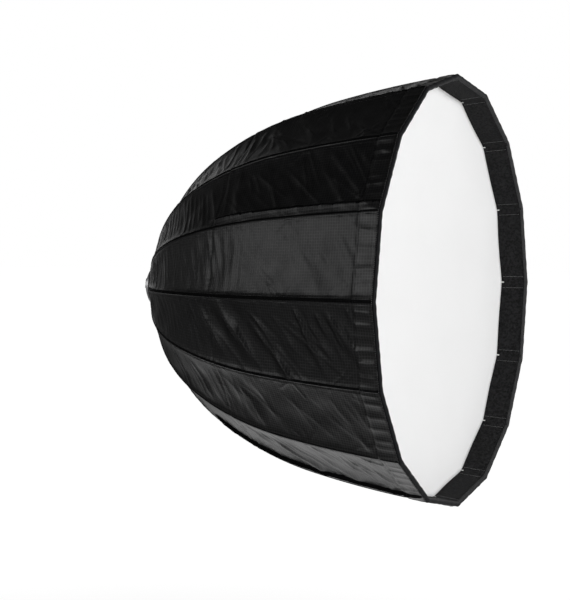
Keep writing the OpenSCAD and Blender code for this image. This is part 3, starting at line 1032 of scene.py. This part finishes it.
# Rings of points at the hem, in hem widths from the edge
HEM_RINGS = np.array([1.25, 1, 0.75, 0])
DIFFUSER_RINGS = 46
DIFFUSER_RIPPLE = 0.0012
BAFFLE_RINGS = 24
BAFFLE_RIPPLE = 0.0018
# Hook tape behind the diffuser's edge, and its pull tabs
HOOK_T = 0.0014
HOOK_DEPTH = 0.0013
HOOK_GAP = 0.0003
HOOK_RIPPLE = 0.0003
TAB_L = 0.008
TAB_HALF_W = 0.0017
TAB_T = 0.0012
TAB_GAP = 0.0022
# Elastic straps: the baffle's corners end BAFFLE_MARGIN before the rods
BAFFLE_MARGIN = 0.07
STRAP_SEWN = 0.022
STRAP_W = 0.014
STRAP_T = 0.0012
STRAP_CLEAR = 0.0004
STRAP_RIPPLE = 0.0004


def attach(piece, body, node):
    """Lets a piece ride on a body, in place of a node"""
    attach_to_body(piece, body)
    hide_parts(node)


def sewn_disc(node, corner, rings, ripple, seed):
    """Points and depth of a flat cloth with faint pull lines from its corners and a folded hem"""
    low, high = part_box(node)
    turns = np.arange(SIDES * DISC_SIDE + 1) / DISC_SIDE
    turns[-1] = 0
    hem = DISC_HEM / corner
    share = np.concatenate([np.linspace(0, 1 - 1.6 * hem, rings + 1)[1:], 1 - hem * HEM_RINGS])
    rng = np.random.default_rng(seed)
    pull = np.cos(turns * 2 * math.pi)
    drift = rng.uniform(-1, 1, SIDES)[turns.astype(int) % SIDES]
    lift = ripple * share[:, None] ** 3 * (pull * 0.7 + 0.3 * drift * (1 - pull))
    fold = DISC_FOLD * smooth(1 - HEM_RINGS[2] * hem, 1 - HEM_RINGS[0] * hem, share)
    slack = 2.2 * ripple * (1 - share ** 2) + fold
    x = high.x + lift - slack[:, None]
    points = np.concatenate([x[..., None], chord(turns) * (corner * share)[:, None, None]], -1)
    return points, high.x - low.x


def disc_part(points, depth):
    """Closes a disc of rings with a middle point on each face, and sews its hem"""
    rings, around = points.shape[0], points.shape[1] - 1
    front = points[:, :-1]
    back = front - np.array([depth, 0, 0])
    index = np.arange(rings * around).reshape(rings, around)
    after = np.roll(index, -1, 1)
    quads = np.stack([index[:-1], index[1:], after[1:], after[:-1]], -1).reshape(-1, 4)
    fan = np.stack([np.full(around, rings * around), index[0], after[0]], -1)
    part = Part()
    for rows, way in ((front, -1), (back, 1)):
        middle = rows[0].mean(0)
        faces = quads[:, ::way].tolist() + fan[:, ::way].tolist()
        part.add(np.concatenate([rows.reshape(-1, 3), middle[None]]), faces, 0)
    walls = np.stack([index[0], index[0] + around, after[0] + around, after[0]], -1)
    part.add(np.concatenate([front[-1], back[-1]]), walls.tolist(), 0)
    add_stitches(part, points[-2], np.broadcast_to([1.0, 0, 0], points[-2].shape), 1)
    return part


def white_disc(name, node, corner, rings, ripple, seed, sewn_on):
    """A white cloth. The piece that is sewn to it, sewn_on, is not used."""
    points, depth = sewn_disc(node, corner, rings, ripple, seed)
    piece = disc_part(points, depth).build(name, (WHITE, WHITE_THREAD))
    weld(piece)
    attach(piece, node, node)


def front_diffuser():
    """The white front cloth, with the tape that is sewn to it"""
    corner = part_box("front_diffuser")[1].z
    white_disc("diffuser_cloth", "front_diffuser", corner, DIFFUSER_RINGS, DIFFUSER_RIPPLE, 900,
               hook_tape())


def inner_baffle():
    """The inner white cloth, with its elastic straps"""
    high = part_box("inner_baffle")[1]
    corner = high.z - BAFFLE_MARGIN
    white_disc("baffle_cloth", "inner_baffle", corner, BAFFLE_RINGS, BAFFLE_RIPPLE, 910,
               baffle_straps(corner, high))


def rod_strip(k, x, r, t):
    """Points of a narrow strip in line with rod k: rows along x and r, columns across t"""
    sideways = turned(0, 1, k * STEP + math.pi / 2)
    return (turned(x[:, None], r, k * STEP) + t[:, None] * sideways)[:, ::-1]


def hook_tape():
    """White hook tape sewn behind the diffuser's edge, with a small tab at each corner"""
    low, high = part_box("diffuser_tape")
    s = np.linspace(station(low.x, -BAND), station(high.x, -BAND), 6)
    turns = np.concatenate([lip_turns(k)[:-1] for k in range(SIDES)] + [lip_turns(SIDES - 1)[-1:]])
    x, r = offset_line(s, -BAND - HOOK_GAP)
    rng = np.random.default_rng(950)
    ripple = HOOK_RIPPLE * np.sin(turns * 2 * math.pi * 9 + rng.uniform(0, 6))
    inner = ring_grid(x, r - HOOK_T, turns % SIDES)
    outward = unit(ring_grid(x, r, turns % SIDES) - inner)
    face = (inner + outward * ripple[:, None])[:, ::-1]
    places = grid_places(turns[::-1] * side_length(FRONT_R), s[:, None])
    part = Part()
    add_sheet(part, face, -outward[:, ::-1], HOOK_DEPTH, seam=places)
    for k in range(SIDES):
        add_tab(part, k)
    piece = part.build("diffuser_hook_tape", (HOOK_TAPE,))
    weld(piece)
    attach(piece, "front_diffuser", "diffuser_tape")
    return piece


def add_tab(part, k):
    """A short white pull tab at rod k, lying on the band in front of the diffuser"""
    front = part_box("front_diffuser")[1].x
    s = np.linspace(station(front, -BAND), station(front + TAB_L, -BAND), 5)
    x, r = offset_line(s, -BAND - TAB_GAP - TAB_T)
    t = np.linspace(-TAB_HALF_W, TAB_HALF_W, 4)
    crown = TAB_T * 0.4 * np.cos(t / TAB_HALF_W * math.pi / 2)
    face = rod_strip(k, x, r[:, None] - crown, t)
    add_sheet(part, face, grid_normals(face), TAB_T)


def baffle_straps(corner, high):
    """Sixteen elastic straps from the baffle's corners to the rods"""
    reach = np.linspace(corner - STRAP_SEWN, high.z - STRAP_CLEAR, 13)
    t = np.linspace(-STRAP_W / 2, STRAP_W / 2, 5)
    x = high.x + STRAP_T + STRAP_RIPPLE * np.cos((reach - corner) * 300)
    places = grid_places(reach[:, None], t)
    part = Part()
    for k in range(SIDES):
        face = rod_strip(k, x, reach[:, None], t)
        add_sheet(part, face, grid_normals(face), STRAP_T, seam=places)
    piece = part.build("baffle_straps", (ELASTIC,))
    attach(piece, "inner_baffle", "inner_baffle")
    return piece


# Collar

COLLAR_COLUMNS = 384
COLLAR_ROWS = 24
COLLAR_T = 0.0009
COLLAR_LAP = 0.004
PLEATS = 48
PLEAT_H = 0.0008
CUFF_R = 0.0634
# x and radius of the cross-section's points, from the cuff's rear edge
COLLAR_OUTLINE = ((0, 0), (0.0018, 0.0009), (0.0036, 0.0003), (0.0046, 0.003), (0.0042, 0.0085),
                  (0.0056, 0.015), (0.0098, 0.0215))
# Flat size for the weave, and its place beside a seam, which leaves it duller near the join at the top
COLLAR_FLAT_R = 0.075
COLLAR_FLAT_L = 0.05
COLLAR_SEAM = np.array([1.0, 0])


def collar_outline(share):
    """x and radius of the collar's cross-section, from its cuff to the canopy"""
    cuff = np.array([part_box("rear_collar")[0].x, CUFF_R])
    edge = np.array(offset_line(S_ROOT + COLLAR_LAP, SKIN))
    outline = np.vstack([cuff + np.array(COLLAR_OUTLINE), edge])
    return values_at(share, np.linspace(0, 1, len(outline)), outline).T


def rear_collar():
    """Gathered cloth from the cuff on the speed ring out to the canopy"""
    share = np.linspace(0, 1, COLLAR_ROWS + 1)
    x, r = collar_outline(share)
    angle = np.linspace(0, 2 * math.pi, COLLAR_COLUMNS + 1)
    rng = np.random.default_rng(960)
    pleat_number = np.arange(COLLAR_COLUMNS + 1) * PLEATS // COLLAR_COLUMNS % PLEATS
    depth = rng.uniform(0.5, 1.2, PLEATS)[pleat_number]
    pleat = PLEAT_H * depth * np.cos(angle * PLEATS)
    window = np.sin(np.clip((share - 0.1) / 0.9, 0, 1) * math.pi) ** 0.6
    face = turned(x[:, None] - pleat * window[:, None], r[:, None], angle)
    places = grid_places(angle * COLLAR_FLAT_R, COLLAR_FLAT_L * share[:, None])
    part = Part()
    add_sheet(part, face, grid_normals(face), COLLAR_T, (places, places), places + COLLAR_SEAM, slots=(0, 1))
    piece = part.build("collar_cloth", (RIPSTOP_CLOTH, LINING))
    weld(piece)
    attach(piece, "speed_ring", "rear_collar")


# Hardware

def dress_hardware():
    """Finishes of the solid pieces that stay as they are"""
    finishes = {
        "bare_aluminium": turned_metal("turned_aluminium", (0.72, 0.72, 0.73), 0.34, 900.0),
        "steel": turned_metal("plated_steel", (0.6, 0.6, 0.61), 0.28, 600.0),
        "black_ring": grained("powder_coat", (0.02, 0.02, 0.022), (0.032, 0.032, 0.034), 0.48, 900.0,
                              0.0002),
        "black_plastic": grained("moulded_plastic", (0.018, 0.018, 0.019), (0.028, 0.028, 0.03), 0.52,
                                 1400.0, 0.00015),
        "white_nylon": grained("plain_nylon", (0.74, 0.74, 0.71), (0.82, 0.82, 0.8), 0.46, 500.0, 0.0001),
        "fibreglass": pultruded(),
    }
    for part in frame["record"]["subparts"]:
        finish = finishes.get(part["material_slot"])
        if finish:
            solid = frame["nodes"][part["node"]]
            solid.data.materials.clear()
            solid.data.materials.append(finish)


# Stage, light and camera

FLOOR_Z = -1.3
FLOOR_REACH = 30.0


def floor_finish():
    """White for the camera, with the object's shadow. In reflections it is bright in a slanted band under and
    beyond the object, faint far out in front and on the left, and dim elsewhere."""
    n = Finish("floor_white")
    n.feed(n.shader, {"Base_Color": (0.8, 0.8, 0.8, 1), "Roughness": 0.9, "Specular_IOR_Level": 0.1})
    place = n.add("NewGeometry").outputs["Position"]
    x, y, _ = n.split(place)
    away = n.add("VectorMath", {"operation": "LENGTH"}, i0=place).outputs["Value"]
    path = n.add("LightPath")
    pale = n.add("BsdfDiffuse", Color=(0.1, 0.1, 0.1, 1))
    glow = n.add("Emission", Strength=n.mapped(away, 1.5, 2.6, 0.9, 1.0))
    camera_floor = n.add("AddShader", i0=glow, i1=pale)
    slant = n.plus(y, n.times(x, 0.5))
    band = n.times(n.mapped(slant, -0.48, -0.02, 0.12, 1.0), n.mapped(y, 1.0, 2.2, 1.0, 0.12))
    band = n.times(band, n.mapped(x, -2.4, -0.9, 0.3, 1.0))
    near_and_left = n.plus(n.mapped(y, -2.2, -1.2, 0.1, 0.0), n.mapped(x, -4.0, -2.0, 0.05, 0.0))
    sheen = n.add("Emission", Strength=n.plus(band, near_and_left))
    mirrored = n.add("MixShader", i0=path.outputs["Is Glossy Ray"], i1=n.shader, i2=sheen)
    mix = n.add("MixShader", i0=n.seen(path), i1=mirrored, i2=camera_floor)
    n.feed(n.tree.nodes["Material Output"], {"Surface": mix})
    return n.material


def make_floor():
    mesh = bpy.data.meshes.new("floor")
    corners = [(-1, -1), (1, -1), (1, 1), (-1, 1)]
    mesh.from_pydata([(x * FLOOR_REACH, y * FLOOR_REACH, FLOOR_Z) for x, y in corners], [], [(0, 1, 2, 3)])
    mesh.materials.append(floor_finish())
    add_object("floor", mesh)


def make_world():
    """White for the camera, and else a dim room with a bright low backdrop and a little light on the left"""
    world = bpy.data.worlds.new("studio")
    bpy.context.scene.world = world
    world.use_nodes = True
    n = Nodes(world.node_tree)
    n.tree.nodes.clear()
    x, y, z = n.split(n.add("TexCoord").outputs["Generated"])
    low = n.mapped(z, 0.12, 0.5, 1.0, 0.0)
    backdrop = n.times(n.times(n.mapped(y, 0.4, 0.86), low), 0.9)
    left = n.times(n.mapped(x, -0.95, -0.7, 0.07, 0.0), low)
    room = n.plus(backdrop, n.plus(left, 0.03))
    strength = n.compute("MAXIMUM", room, n.seen(n.add("LightPath")))
    light = n.add("Background", Color=(1, 1, 1, 1), Strength=strength)
    n.add("OutputWorld", Surface=light)


def soft_light(name, place, aim, size, radiance):
    """A rectangular soft light that looks as bright as a white surface times radiance"""
    lamp = bpy.data.lights.new(name, "AREA")
    lamp.shape = "RECTANGLE"
    lamp.size, lamp.size_y = size
    lamp.energy = math.pi * size[0] * size[1] * radiance
    holder = add_object(name, lamp)
    holder.location = place
    holder.rotation_mode = "QUATERNION"
    holder.rotation_quaternion = (Vector(aim) - Vector(place)).to_track_quat("-Z", "Y")
    holder.visible_camera = False


def make_lights():
    soft_light("key", place=(-1.21, -2.7, 0.81), aim=(0.75, -0.5, 0.0), size=(3.3, 1.25), radiance=1.2)
    soft_light("front", place=(8.5, -2.07, 0.83), aim=(0.9, 0, 0), size=(6.36, 6.36), radiance=5.7)


def make_camera():
    """The photograph's view"""
    camera = bpy.data.cameras.new("camera")
    camera.sensor_width = SENSOR
    camera.lens = FOCAL_PX * SENSOR / max(PICTURE)
    turn = Matrix.Rotation(CAMERA_AZ, 4, "Z") @ Matrix.Rotation(math.pi / 2 - CAMERA_EL, 4, "X")
    turn = turn @ Matrix.Rotation(CAMERA_ROLL, 4, "Z")
    holder = add_object("camera", camera)
    holder.matrix_world = Matrix.Translation(CAMERA_AIM) @ turn @ Matrix.Translation((0, 0, CAMERA_D))
    bpy.context.scene.camera = holder


make_camera()
canopy = canopy_ring()
for k in range(SIDES):
    for zone in ZONES:
        canopy_strip(k, zone, canopy)
    lip_band(k, lip_binding(k))
front_diffuser()
inner_baffle()
rear_collar()
dress_hardware()
make_floor()
make_world()
make_lights()
bpy.context.scene.view_settings.view_transform = "Standard"
